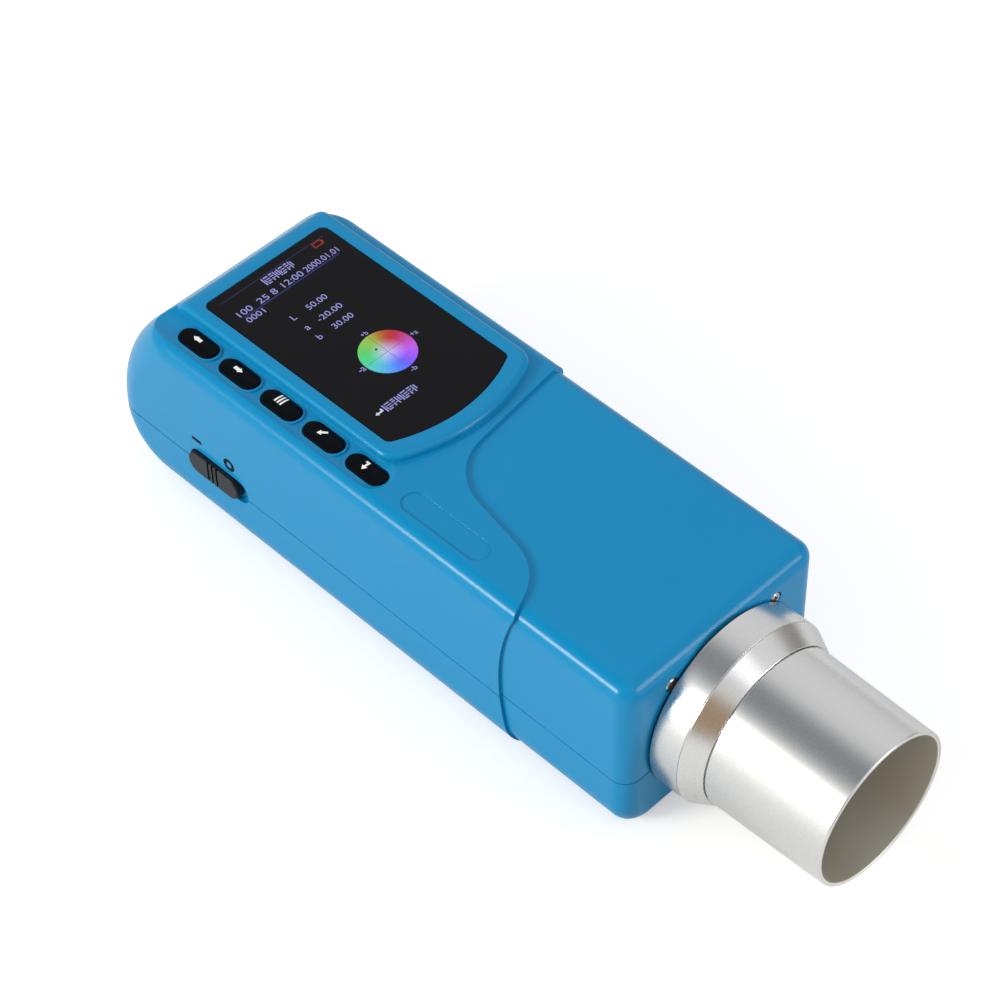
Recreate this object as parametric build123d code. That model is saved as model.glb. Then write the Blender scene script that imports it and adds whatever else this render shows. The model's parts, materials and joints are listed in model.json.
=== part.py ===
"""A handheld colorimeter: one STEP file for each of its pieces, in millimetres.

X runs from the tail to the nose, Z is up and the keys are on the -Y side.  The origin lies on
the flat underside, near the middle of the housing's length.
"""
from build123d import *
import math
import os

os.makedirs("parts", exist_ok=True)

# ---------------------------------------------------------------- driving dimensions
# housing
tail_reach = 106.5              # from the origin back to the tail's furthest point
housing_length = 212.0          # tail's furthest point to the flat nose face
rear_width = 76.8
platform_height = 65.1          # top of the display platform, the highest point
platform_rise = 2.7             # the platform's height above the rear skin
skin_step = 0.94                # the rear skin stands this much proud of the nose
wall = 2.4                      # wall of the nose; the rear is thicker by skin_step
seam_height = 22.2              # where the upper and the lower shell meet
seam_groove = 0.4               # width and depth of the witness line at the seam
tail_tip_height = 21.0          # height of the tail's furthest point
tail_sweep = 1.281              # the sweep's radius, as a share of the height it climbs
edge_radius = 10.2              # lower and tail edges
nose_edge_radius = 5.4          # upright and lower edges of the nose face
top_edge_radius = 5.0
boss_radius = 3.6
board_post_radius = 2.6
spare = 5.0                     # every cutter reaches at least this far beyond its cut
screw_clearance = 0.05          # radial, in every screw hole
head_clearance = 0.3            # radial, around every sunk screw head

# step between the rear skin and the nose, seen from above and from the side
step_start_x = 3.4              # on the far side
step_inner_corner = (15.0, 24.7)    # x, and the distance from the key side
step_outer_corner = (59.0, 16.4)
step_end_x = 66.0               # on the key side
step_corner_radius = 20.0
step_side_x = 58.2              # the step's rearmost point on the key side
step_side_height = 28.5
step_side_radius = 82.0
step_bite = 8.4                 # the side curve is cut this deep into the key side

# display platform, window and screen
platform_key_margin = 14.1      # from the key side to the platform
platform_far_margin = 5.8       # from the platform to the far side
platform_shoulder_x = 1.6       # where the rounded front begins
platform_nose_x = 9.2
platform_corner_radius = 7.0
platform_edge_radius = 2.0
window_key_margin = 4.2         # from the platform's edges to the window
window_far_margin = 5.3
window_tail_x = -80.5
window_shoulder_x = -2.9
window_nose_x = 3.1
window_corner_radius = 2.6
window_thickness = 1.2
window_sink = 0.1               # the window lies this far below the platform
window_clearance = 0.15
window_edge = 0.3
tape_thickness = 0.2
tape_inset = 0.4
shelf_thickness = 1.2
screen_length = 69.7            # lit area
screen_margin = 2.8             # from the lit area to the window's long edges
screen_centre_x = -43.5
screen_border = 2.6
screen_room = 0.3
glass_rise = 0.6                # the glass stands this far into its opening
bracket_thickness = 0.8
bracket_margin = 3.0
bracket_rim = 12.0              # width of the plate around its own opening
flex_width = 14.0
flex_thickness = 0.3
flex_bend = 10.0                # from the lit area's end to the cable's fold
flex_radius = 2.0

# keys
key_pitch = 17.7
first_key_x = -72.6
key_line_margin = 9.4           # from the key side to the keys' centres
key_length = 14.2
key_width = 6.4
key_clearance = 0.3
key_crown = 0.7                 # rise of the domed top above its own rim
key_rim_width = 0.7
key_rim_rise = 0.6              # the rims stand this far above the valley's floor
key_cap_rise = 0.1              # the cap's edge above its rim
key_flange = 0.9                # flange beyond the cap, all round
key_flange_thickness = 0.8
key_travel = 0.8
key_edge = 0.25
key_dome_gap = 0.05             # left between a fully pressed key and its dome
valley_radius = 14.0            # shallow valley that the keys lie in
valley_depth = 1.5
valley_end_x = 0.5
running_gap = 0.2
dome_radius = 2.6
dome_height = 0.5
key_board_thickness = 1.2
key_board_width = 10.4
key_board_shift = 0.4           # towards the middle of the housing
key_board_reach = 12.2          # from the end keys' centres to the board's ends
key_names = ["key_up", "key_down", "key_menu", "key_back", "key_enter"]

# bare label recess
label_length = 32.3
label_width = 7.7
label_depth = 0.3
label_x = 29.2
label_shift = 0.2               # from the keys' line towards the middle

# power switch
switch_x = -59.5                # knob's centre at its tail end, which is on
switch_z = 23.3
knob_length = 21.8
knob_height = 8.0
knob_proud = 1.5
knob_travel = 3.0
knob_clearance = 0.35
knob_recess = 1.4
knob_floor_gap = 0.15
knob_edge = 0.5
knob_groove_pitch = 1.9
knob_groove = 0.8
knob_stem_length = 6.0
knob_stem_height = 3.0
power_switch_length = 17.0
power_switch_depth = 5.5
power_switch_height = 7.0
power_track_depth = 1.2
power_leg_pitch = 4.0
power_leg_length = 2.0
power_leg_thickness = 0.6
stem_reach = 0.8                # the stem ends this far inside the switch's track

# measuring key, on the far side
measure_x = 28.0
measure_z = 40.0
measure_length = 21.0
measure_height = 11.0
measure_proud = 1.4
measure_travel = 0.9
measure_edge = 0.9
measure_flange_thickness = 1.2
measure_plunger_length = 2.26
measure_plunger_size = (4.0, 3.9)
measure_switch_width = 6.0
measure_switch_depth = 5.0
measure_nub_depth = 0.8
measure_nub_size = (3.1, 3.0)

# nose, sphere and adapter
axis_rise = 0.57                # the measuring axis above the nose's mid-height
spigot_margin = 5.93            # from the spigot to the nose's top and bottom
spigot_length = 7.9             # beyond the nose face
spigot_wall = 5.4
spigot_plate = 3.0
spigot_plate_step = 3.4         # the plate's half-width beyond the spigot
spigot_plate_floor_gap = 2.4
spigot_plate_ceiling_gap = 1.86
spigot_plate_corner = 6.0
nose_screw_step = 4.9           # the nose screws' circle beyond the spigot
nose_screw_angles = [46.4, 133.6, 234.0, 306.0]
nose_screw_head = 2.0
nose_screw_shank = 1.1
nose_screw_sink = 1.4           # the heads lie in pockets this deep
nose_boss_length = 2.6          # from the nose wall back to the spigot's plate
nose_boss_radius = 3.4
nose_hole_gap = 0.15
gasket_thickness = 1.2
gasket_step = 3.7               # radii of the round parts, beyond the spigot's
collar_step = 4.5
cone_end_step = 1.1
tube_root_step = 0.7
tube_rim_step = -0.1
tube_bore_step = -1.4
adapter_fit = 0.05              # radial clearance on the spigot
collar_edge = 0.25
collar_length = 9.5
cone_length = 6.6
tube_reach = 56.5               # from the nose face to the tube's rim
lip_bevel = 0.35
mask_thickness = 1.8
mask_hole_radius = 6.0
oring_section = 0.9             # radius of the ring's round section
oring_room = 0.1
oring_squeeze = 0.02            # the ring stays this far inside the collar's bore
port_radius = 4.0
port_bevel = 1.0
sphere_body_margin = 2.8        # the sphere's body is this much smaller than the spigot
sphere_wall = 5.0
sphere_setback = 17.5           # from the nose face back to the sphere's centre
sphere_steps = 9                # facets between the sphere's equator and its holes
sphere_back_wall = 4.0
port_plate_thickness = 2.0
neck_gap = 0.2
light_board_thickness = 1.6
light_board_step = 0.5          # the board is this much smaller than the sphere's body
lamp_count = 6
lamp_circle = 11.0
lamp_radius = 1.5
lamp_rise = 1.4
lamp_room = 0.1
lamp_bore_depth = 16.0
viewing_tube_radius = 7.0
viewing_tube_bore = 5.0
viewing_tube_length = 12.0
viewing_foot = 2.0
viewing_hole = 3.0
sensor_board_size = 30.0
sensor_size = 5.0
sensor_height = 1.6

# boards and battery
main_board_tail = -80.0
main_board_nose = 42.0
main_board_margin = 8.4         # from the rear skin's sides to the board
main_board_height = 33.0
board_thickness = 1.6
board_corner = 3.0
board_post_inset = 4.0
processor_at = (-25.0, -8.0)
processor_size = (14.0, 14.0, 1.4)
memory_at = (-52.0, 6.0)
memory_size = (10.0, 10.0, 1.2)
charger_at = (-50.0, -14.0)
charger_size = (12.0, 8.0, 1.2)
converter_at = (14.0, -6.0)
converter_size = (12.0, 12.0, 1.3)
clock_at = (16.0, 14.0)
clock_size = (8.0, 5.0, 1.5)
coil_at = (-66.0, 14.0)
coil_size = (7.0, 7.0, 4.5)
flex_socket_width = 18.0
flex_socket_length = 6.0
flex_socket_height = 1.8
battery_length = 68.0
battery_width = 38.0
battery_height = 19.0
battery_x = -44.0
battery_edge = 3.0
battery_room = 0.5
contact_room = 3.0
contact_y = 9.0
contact_width = 5.0
contact_thickness = 0.5
contact_foot = 4.0              # heights of the spring's foot, bow and top
contact_bow = 10.0
contact_top = 18.0
cradle_wall = 1.6
door_gap = 0.3
door_ledge = 2.0
door_thickness = 1.2
door_sink = 0.2
door_rib_count = 5
door_rib_pitch = 2.4
door_rib_width = 1.2
door_rib_length = 18.0
door_rib_depth = 0.5
door_rib_start = 6.0            # from the door's tail edge

# fasteners and socket
housing_screws_tail = (-90.0, 19.4)     # x, and the distance from the side
housing_screws_nose = (50.0, 14.4)
housing_screw_head = 2.9
housing_screw_shank = 1.4
housing_screw_sink = 5.0
housing_screw_grip = 4.0        # length of thread in the upper shell
housing_pilot_depth = 12.0
board_screw_head = 2.2
board_screw_shank = 1.0
board_screw_length = 6.0
bracket_screw_length = 2.4
usb_height = 14.6
usb_width = 8.4
usb_thickness = 3.2
usb_length = 8.0
usb_wall = 0.4
usb_edge = 0.7
usb_tongue_width = 5.2
usb_tongue_thickness = 0.6
usb_tongue_sink = 0.8
usb_clearance = 0.1
usb_relief = (2.4, 2.0)         # room for a plug's body beside and above the socket
usb_board_width = 16.0
usb_board_start = 3.0           # behind the socket's mouth
usb_board_thickness = 1.2
usb_post_radius = 1.6
usb_mouth_x = -104.6
usb_post_x = -93.0

# ---------------------------------------------------------------- places worked out from them
tail_x = -tail_reach
nose_x = housing_length - tail_reach
rear_height = platform_height - platform_rise
tail_upper_radius = tail_sweep * (platform_height - tail_tip_height)
key_side = -rear_width / 2
nose_width = rear_width - 2 * skin_step
nose_height = rear_height - skin_step
side_inner = nose_width / 2 - wall
ceiling = nose_height - wall
platform_left = key_side + platform_key_margin
platform_right = rear_width / 2 - platform_far_margin
window_left = platform_left + window_key_margin
window_right = platform_right - window_far_margin
window_top = platform_height - window_sink
window_bottom = window_top - window_thickness
shelf_top = window_bottom - tape_thickness
shelf_bottom = shelf_top - shelf_thickness
screen_x = (screen_centre_x - screen_length / 2, screen_centre_x + screen_length / 2)
screen_y = (window_left + screen_margin, window_right - screen_margin)
key_line_y = key_side + key_line_margin
valley_floor = rear_height - valley_depth
key_rim_height = valley_floor + key_rim_rise
key_top = key_rim_height + key_cap_rise
key_xs = [first_key_x + i * key_pitch for i in range(len(key_names))]
flange_top = ceiling - running_gap
flange_bottom = flange_top - key_flange_thickness
dome_top = flange_bottom - key_travel - key_dome_gap
key_board_top = dome_top - dome_height
key_board_bottom = key_board_top - key_board_thickness
key_board_x = (key_xs[0] - key_board_reach, key_xs[-1] + key_board_reach)
key_board_middle = key_line_y + key_board_shift
key_board_y = (key_board_middle - key_board_width / 2, key_board_middle + key_board_width / 2)
knob_seat = rear_width / 2 - knob_recess
knob_back = knob_seat + knob_floor_gap
recess_x = switch_x + knob_travel / 2
board_bottom = main_board_height
board_top = board_bottom + board_thickness
axis_height = nose_height / 2 + axis_rise
spigot_radius = nose_height / 2 - spigot_margin
collar_radius = spigot_radius + collar_step
inner_nose = nose_x - wall
plate_front = inner_nose - nose_boss_length
plate_back = plate_front - spigot_plate
spigot_end = nose_x + spigot_length
spigot_bore = spigot_radius - spigot_wall
neck_radius = spigot_bore - neck_gap
port_plate_back = spigot_end - port_plate_thickness
oring_x = (nose_x + spigot_end) / 2
collar_start = nose_x + gasket_thickness
collar_bore = spigot_radius + adapter_fit
oring_inner = collar_bore - oring_squeeze - 2 * oring_section
cone_start = collar_start + collar_length
cone_end = cone_start + cone_length
mask_start = spigot_end + running_gap
mask_end = mask_start + mask_thickness
tube_end_x = nose_x + tube_reach
tube_bore_radius = spigot_radius + tube_bore_step
tube_rim_radius = spigot_radius + tube_rim_step
sphere_x = nose_x - sphere_setback
sphere_body_radius = spigot_radius - sphere_body_margin
sphere_radius = sphere_body_radius - sphere_wall
sphere_back = sphere_x - sphere_radius - sphere_back_wall
light_board_back = sphere_back - light_board_thickness
tube_back = light_board_back - viewing_tube_length
bay_x = (battery_x - battery_length / 2 - battery_room,
         battery_x + battery_length / 2 + contact_room + battery_room)
bay_y = (-battery_width / 2 - battery_room, battery_width / 2 + battery_room)
door_x = (bay_x[0] - door_ledge, bay_x[1] + door_ledge)
door_y = (bay_y[0] - door_ledge, bay_y[1] + door_ledge)
door_top = door_sink + door_thickness
battery_bottom = door_top + door_gap
battery_top = battery_bottom + battery_height
cradle_top = battery_top + battery_room
main_board_width = rear_width - 2 * main_board_margin
board_posts = [(x, side * (main_board_width / 2 - board_post_inset))
               for x in (main_board_tail + board_post_inset, main_board_nose - board_post_inset)
               for side in (-1, 1)]
housing_posts = [(x, side * (rear_width / 2 - margin))
                 for x, margin in (housing_screws_tail, housing_screws_nose) for side in (-1, 1)]
usb_y = (-usb_width / 2, usb_width / 2)
usb_z = (usb_height - usb_thickness / 2, usb_height + usb_thickness / 2)
usb_board_bottom = usb_height - usb_thickness / 2 - usb_board_thickness
measure_flange_y = side_inner - running_gap
measure_flange_back = measure_flange_y - measure_flange_thickness
measure_plunger_y = measure_flange_back - measure_plunger_length
sphere_end = sphere_back + lamp_bore_depth


# ---------------------------------------------------------------- helpers
def block(x, y, z):
    """Box between two corners, each axis given as (low, high)."""
    size = [x[1] - x[0], y[1] - y[0], z[1] - z[0]]
    centre = [(x[0] + x[1]) / 2, (y[0] + y[1]) / 2, (z[0] + z[1]) / 2]
    return Pos(*centre) * Box(*size)


def grown(span, margin):
    """The span (low, high), larger by the margin at both ends."""
    return (span[0] - margin, span[1] + margin)


def post(x, y, z, radius):
    """Upright cylinder from z[0] to z[1]."""
    return Pos(x, y, (z[0] + z[1]) / 2) * Cylinder(radius, z[1] - z[0])


def barrel(x, radius, y=0.0, z=axis_height):
    """Cylinder along X from x[0] to x[1]."""
    middle = Pos((x[0] + x[1]) / 2, y, z)
    return middle * Rot(0, 90, 0) * Cylinder(radius, x[1] - x[0])


def turned(points):
    """Solid of revolution about the measuring axis; each point is (x, radius)."""
    outline = Polyline(*[(x, 0, axis_height + r) for x, r in points], close=True)
    return revolve(make_face(outline), Axis((0, 0, axis_height), (1, 0, 0)), 360)


def stadium(x, y, z, length, width):
    """Upright slot-shaped block, its length along X."""
    outline = SlotOverall(length, width)
    return extrude(Pos(x, y, z[0]) * outline, z[1] - z[0])


def on_circle(radius, angle):
    """Point (y, z) on a circle about the measuring axis."""
    turn = math.radians(angle)
    return (radius * math.cos(turn), axis_height + radius * math.sin(turn))


def side_stadium(x, z, y, length, height):
    """Slot-shaped block through a side wall, from y[0] to y[1]."""
    outline = Plane.XZ * Pos(x, z) * SlotOverall(length, height)
    return Pos(0, y[0], 0) * extrude(outline, -(y[1] - y[0]))


def rounded_front(tail, left, right, shoulder, front, corner, z):
    """Block with a bowed front edge, used for the platform and its window."""
    start = Line((tail, right), (tail, left))
    near = Line((tail, left), (shoulder, left))
    bow = ThreePointArc((shoulder, left), (front, (left + right) / 2), (shoulder, right))
    far = Line((shoulder, right), (tail, right))
    face = make_face([start, near, bow, far])
    face = fillet(face.vertices(), corner)
    return extrude(Pos(0, 0, z[0]) * face, z[1] - z[0])


def screw(head_radius, head_height, shank_radius, shank_length):
    """Cross-recessed screw, head up, with its head's underside at the origin."""
    head = post(0, 0, (0, head_height), head_radius)
    head = chamfer(head.edges().group_by(Axis.Z)[-1], head_height * 0.25)
    arm = head_radius * 1.1
    slot = head_radius * 0.3
    depth = head_height * 0.55
    cross = Pos(0, 0, head_height) * (Box(arm, slot, 2 * depth) + Box(slot, arm, 2 * depth))
    return head - cross + post(0, 0, (-shank_length, 0), shank_radius)


def save(name, shape):
    """Write one node; a group of separate solids stays one compound."""
    shape.label = name
    export_step(shape, os.path.join("parts", name + ".step"))


nose_screw_places = [on_circle(spigot_radius + nose_screw_step, angle) for angle in nose_screw_angles]
lamp_places = [on_circle(lamp_circle, 360 * i / lamp_count) for i in range(lamp_count)]


# ---------------------------------------------------------------- housing forms
def side_profile(inset, height, front):
    """Outline of the housing seen from the side, with its swept tail."""
    upper = tail_upper_radius - inset
    lower = tail_tip_height - inset
    tip = tail_x + inset
    rise = math.degrees(math.asin((height - tail_tip_height) / upper))
    sweep = CenterArc((tip + upper, tail_tip_height), upper, 180 - rise, rise)
    tuck = CenterArc((tip + lower, tail_tip_height), lower, 180, 90)
    bottom = Line(tuck @ 1, (front, inset))
    face = Line((front, inset), (front, height))
    top = Line((front, height), sweep @ 0)
    return make_face([sweep, tuck, bottom, face, top])


def long_form(inset, height, width, front):
    """Housing body of one width and height, with every outer edge rounded."""
    body = extrude(Plane.XZ * side_profile(inset, height, front), width / 2, both=True)
    below_top = body.edges().filter_by(lambda e: e.center().Z < height - 1)
    sides = below_top.filter_by(lambda e: abs(e.center().Y) > 1 and e.center().X < front - 1)
    body = fillet(sides, edge_radius - inset)
    face_edges = body.faces().sort_by(Axis.X)[-1].edges()
    body = fillet(face_edges.filter_by(lambda e: e.center().Z < height - 1), nose_edge_radius - inset)
    return fillet(body.edges().group_by(Axis.Z)[-1], top_edge_radius - inset)


def nose_form(inset):
    """Whole-length body at the nose's width and height."""
    return long_form(inset, nose_height - inset, nose_width - 2 * inset, nose_x - inset)


def rear_form(inset):
    """The same at the rear skin's width and height; its front is cut off by the step."""
    return long_form(inset, rear_height - inset, rear_width - 2 * inset, nose_x + 4 * spare)


def step_region(inset):
    """Everything behind the curved step, seen from above and from the key side."""
    reach = rear_width
    near = -reach / 2 - spare
    tail = tail_x - spare
    far = (step_start_x - inset, reach)
    edge = FilletPolyline(
        far,
        (step_inner_corner[0] - inset, key_side + step_inner_corner[1]),
        (step_outer_corner[0] - inset, key_side + step_outer_corner[1]),
        (step_end_x - inset, near),
        radius=step_corner_radius,
    )
    back = Polyline(edge @ 1, (tail, near), (tail, reach), far)
    region = extrude(make_face([*edge.edges(), *back.edges()]), platform_height)
    middle = Plane.XZ * Pos(step_side_x - inset + step_side_radius, step_side_height)
    bite = extrude(middle * Circle(step_side_radius), reach)
    return region - Pos(0, key_side + step_bite, 0) * bite


def platform(inset):
    """Raised bed of the display, which runs out at the tail."""
    shape = rounded_front(tail_x - 2 * spare, platform_left + inset, platform_right - inset,
                          platform_shoulder_x - inset, platform_nose_x - inset,
                          platform_corner_radius - inset, (seam_height, platform_height - inset))
    shape = shape & long_form(inset, platform_height - inset, 2 * rear_width, nose_x)
    top = shape.edges().group_by(Axis.Z)[-1]
    return fillet(top, platform_edge_radius - inset)


def housing(inset):
    """The closed housing, with its step, its key valley and its display platform."""
    rear = rear_form(inset) & step_region(inset)
    return nose_form(inset) + rear - key_valley() + platform(inset)


def key_valley():
    """Shallow round-bottomed valley along the keys, closed at its nose end."""
    centre = valley_floor + valley_radius
    length = valley_end_x - tail_x + spare
    run = Pos(valley_end_x - length / 2, key_line_y, centre) * Rot(0, 90, 0)
    end = Pos(valley_end_x, key_line_y, centre) * Sphere(valley_radius)
    return run * Cylinder(valley_radius, length) + end


# ---------------------------------------------------------------- shells
def window_outline(grow, z):
    """Block of the window's outline, larger than it by grow."""
    return rounded_front(window_tail_x - grow, window_left - grow, window_right + grow,
                         window_shoulder_x + grow, window_nose_x + grow,
                         window_corner_radius, z)


def upper_shell(body, cavity, groove):
    """Upper half: platform, key holes, bosses and the upper part of the nose wall."""
    above = block((tail_x - spare, nose_x + spare), (-rear_width, rear_width),
                  (seam_height, platform_height + spare))
    shell = (body & above) - cavity - groove
    rims = [stadium(x, key_line_y, (ceiling, key_rim_height),
                    key_length + 2 * (key_clearance + key_rim_width),
                    key_width + 2 * (key_clearance + key_rim_width)) for x in key_xs]
    shell = shell + rims
    for x, y in housing_posts:
        shell = shell + (post(x, y, (seam_height, nose_height), boss_radius) & nose_form(wall / 2))
    for x in key_board_x:
        inward = boss_radius / 2 if x < 0 else -boss_radius / 2
        shell = shell + post(x + inward, key_line_y, (key_board_top, ceiling + wall / 2),
                             boss_radius / 2)
    for x, y in bracket_corners():
        shell = shell - post(x, y, (ceiling - spare, ceiling + bracket_screw_length),
                             board_screw_shank + screw_clearance)
    for y, z in nose_screw_places:
        if z > axis_height:
            shell = shell + barrel((plate_front, inner_nose + wall / 2), nose_boss_radius, y, z)
    shell = shell - key_openings()
    shell = shell - window_outline(window_clearance, (shelf_top, platform_height + spare))
    shell = shell - block(screen_x, screen_y, (ceiling, platform_height))
    shell = shell - block(grown(screen_x, screen_border + screen_room),
                          grown(screen_y, screen_border + screen_room),
                          (ceiling - spare, shelf_bottom))
    shell = shell - stadium(label_x, key_line_y + label_shift, (rear_height - label_depth, platform_height),
                            label_length, label_width)
    for x, y in housing_posts:
        shell = shell - post(x, y, (0, seam_height + housing_pilot_depth),
                             housing_screw_shank + screw_clearance)
    return shell - side_openings() - nose_openings()


def lower_shell(body, cavity, groove):
    """Lower half: battery opening, screw wells, board posts and the lower nose wall."""
    below = block((tail_x - spare, nose_x + spare), (-rear_width, rear_width), (-spare, seam_height))
    shell = (body & below) - cavity - groove
    for x, y in housing_posts:
        shell = shell + (post(x, y, (0, seam_height), boss_radius) & nose_form(0))
    for x, y in board_posts:
        shell = shell + post(x, y, (wall / 2, board_bottom), board_post_radius)
    for y in usb_y:
        foot = post(usb_post_x, y, (0, usb_board_bottom), usb_post_radius)
        shell = shell + (foot & nose_form(wall / 2))
    for y, z in nose_screw_places:
        if z < axis_height:
            shell = shell + barrel((plate_front, inner_nose + wall / 2), nose_boss_radius, y, z)
    shell = shell - block(door_x, door_y, (-spare, door_top))
    shell = shell - block(bay_x, bay_y, (-spare, spare))
    for x, y in housing_posts:
        shell = shell - post(x, y, (-spare, housing_screw_sink), housing_screw_head + head_clearance)
        shell = shell - post(x, y, (0, seam_height + spare), housing_screw_shank + screw_clearance)
    for x, y in board_posts:
        shell = shell - post(x, y, (board_bottom - board_screw_length, board_bottom + spare),
                             board_screw_shank + screw_clearance)
    shell = shell - block((tail_x - spare, usb_mouth_x), grown(usb_y, usb_relief[0]),
                          grown(usb_z, usb_relief[1]))
    shell = shell - block((tail_x - spare, usb_mouth_x + usb_length), grown(usb_y, usb_clearance),
                          grown(usb_z, usb_clearance))
    return shell - side_openings() - nose_openings()


def key_openings():
    """Slots that the five keys pass through."""
    return [stadium(x, key_line_y, (ceiling - spare, key_rim_height + spare),
                    key_length + 2 * key_clearance, key_width + 2 * key_clearance)
            for x in key_xs]


def side_openings():
    """Power switch recess and stem slot, and the measuring key's hole."""
    outside = rear_width / 2 + spare
    recess = side_stadium(recess_x, switch_z, (-outside, -knob_seat),
                          knob_length + knob_travel + 2 * knob_clearance,
                          knob_height + 2 * knob_clearance)
    slot = side_stadium(recess_x, switch_z, (-outside, spare - side_inner),
                        knob_stem_length + knob_travel + 2 * knob_clearance,
                        knob_stem_height + 2 * knob_clearance)
    hole = side_stadium(measure_x, measure_z, (side_inner - spare, outside),
                        measure_length + 2 * key_clearance, measure_height + 2 * key_clearance)
    return [recess, slot, hole]


def nose_openings():
    """Round opening for the spigot, and the pockets and holes of the nose screws."""
    cuts = [barrel((plate_front, nose_x + spare), spigot_radius + nose_hole_gap)]
    for y, z in nose_screw_places:
        cuts.append(barrel((nose_x - nose_screw_sink, nose_x + spare),
                           nose_screw_head + head_clearance, y, z))
        cuts.append(barrel((plate_front - spare, nose_x), nose_screw_shank + screw_clearance, y, z))
    return cuts


# ---------------------------------------------------------------- display
def display_window():
    """Cover window with a bowed front edge and a softened rim."""
    pane = window_outline(0, (window_bottom, window_top))
    return fillet(pane.edges().group_by(Axis.Z)[-1], window_edge)


def window_tape():
    """Adhesive frame under the window."""
    frame = window_outline(-tape_inset, (shelf_top, window_bottom))
    return frame - block(grown(screen_x, tape_inset), grown(screen_y, tape_inset),
                         (shelf_bottom, platform_height))


def screen_module():
    """Flat screen with its backlight frame."""
    frame = block(grown(screen_x, screen_border), grown(screen_y, screen_border),
                  (ceiling, shelf_bottom))
    glass = block(grown(screen_x, -screen_room), grown(screen_y, -screen_room),
                  (shelf_bottom, shelf_bottom + glass_rise))
    return frame + glass


def screen_bracket():
    """Sheet plate that holds the screen up against its shelf."""
    x = grown(screen_x, screen_border + bracket_margin)
    y = grown(screen_y, screen_border + bracket_margin)
    depth = (ceiling - spare, ceiling + spare)
    plate = block(x, y, (ceiling - bracket_thickness, ceiling))
    plate = fillet(plate.edges().filter_by(Axis.Z), bracket_margin / 2)
    opening = block(grown(x, -bracket_rim), grown(y, -bracket_rim), depth)
    holes = [post(hole_x, hole_y, depth, board_screw_shank + screw_clearance)
             for hole_x, hole_y in bracket_corners()]
    return plate - opening - holes


def bracket_corners():
    """Centres of the bracket's four screws."""
    reach = screen_border + bracket_margin / 2
    return [(x, y) for x in grown(screen_x, reach) for y in grown(screen_y, reach)]


def display_flex():
    """Flat cable from the screen down to the main board."""
    top = ceiling - bracket_thickness - flex_thickness / 2
    foot = board_top + flex_socket_height + flex_thickness / 2
    fold = screen_x[1] + flex_bend
    start = Vector(fold - 1.2 * flex_bend, 0, top)
    end = Vector(fold - flex_socket_length, 0, foot)
    line = FilletPolyline(start, (fold, 0, top), (fold, 0, foot), end, radius=flex_radius)
    across = Plane(start, x_dir=(0, 1, 0), z_dir=(1, 0, 0))
    return sweep(across * Rectangle(flex_width, flex_thickness), line)


# ---------------------------------------------------------------- keys and switches
def key(x):
    """Domed key cap with its retaining flange and plunger."""
    cap = stadium(x, key_line_y, (flange_bottom, key_top), key_length, key_width)
    crown = key_width ** 2 / (8 * key_crown) + key_crown / 2
    dome = Pos(x, key_line_y, key_top + key_crown - crown) * Rot(0, 90, 0)
    tall = stadium(x, key_line_y, (key_top, key_top + key_crown), key_length, key_width)
    cap = cap + (tall & dome * Cylinder(crown, 2 * key_length))
    rim = cap.edges().filter_by(lambda e: e.center().Z > key_top - screw_clearance)
    rim = rim.filter_by(lambda e: abs(e.center().X - x) > key_length / 4)
    cap = fillet(rim, key_edge)
    flange = stadium(x, key_line_y, (flange_bottom, flange_top),
                     key_length + 2 * key_flange, key_width + 2 * key_flange)
    return cap + flange


def key_domes():
    """Metal dome under each key."""
    domes = []
    for x in key_xs:
        dome = post(x, key_line_y, (key_board_top, dome_top), dome_radius)
        domes.append(chamfer(dome.edges().group_by(Axis.Z)[-1], dome_height * 0.7))
    return Compound(children=domes)


def key_board():
    """Narrow board that carries the domes."""
    board = block(key_board_x, key_board_y, (key_board_bottom, key_board_top))
    return fillet(board.edges().filter_by(Axis.Z), board_corner)


def power_knob():
    """Sliding knob with three grip grooves and the stem that drives the switch."""
    face = rear_width / 2 + knob_proud
    knob = side_stadium(switch_x, switch_z, (-face, -knob_back), knob_length, knob_height)
    knob = fillet(knob.edges().group_by(Axis.Y)[0], knob_edge)
    for i in (-1, 0, 1):
        x = switch_x + i * knob_groove_pitch
        knob = knob - block((x - knob_groove / 2, x + knob_groove / 2),
                            (-face - spare, knob_groove - face),
                            (switch_z - knob_height, switch_z + knob_height))
    stem = side_stadium(switch_x, switch_z, (-knob_back, stem_reach - side_inner),
                        knob_stem_length, knob_stem_height)
    return knob + stem


def power_switch():
    """Slide switch body behind the knob."""
    x = (recess_x - power_switch_length / 2, recess_x + power_switch_length / 2)
    z = (switch_z - power_switch_height / 2, switch_z + power_switch_height / 2)
    back = power_switch_depth - side_inner
    body = block(x, (-side_inner, back), z)
    track = side_stadium(recess_x, switch_z, (-side_inner - spare, power_track_depth - side_inner),
                         knob_stem_length + knob_travel + 2 * knob_clearance,
                         knob_stem_height + 2 * knob_clearance)
    leg = Box(power_leg_thickness, 2 * power_leg_length, power_leg_thickness)
    legs = [Pos(recess_x + i * power_leg_pitch, back, switch_z) * leg for i in (-1, 0, 1)]
    return body - track + legs


def measure_key():
    """Oval key on the far side that starts a reading."""
    face = nose_width / 2 + measure_proud
    back = measure_flange_back
    cap = side_stadium(measure_x, measure_z, (back, face), measure_length, measure_height)
    cap = fillet(cap.edges().group_by(Axis.Y)[-1], measure_edge)
    flange = side_stadium(measure_x, measure_z, (back, measure_flange_y),
                          measure_length + 2 * key_flange, measure_height + 2 * key_flange)
    plunger = side_stadium(measure_x, measure_z, (measure_plunger_y, back), *measure_plunger_size)
    return cap + flange + plunger


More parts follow.
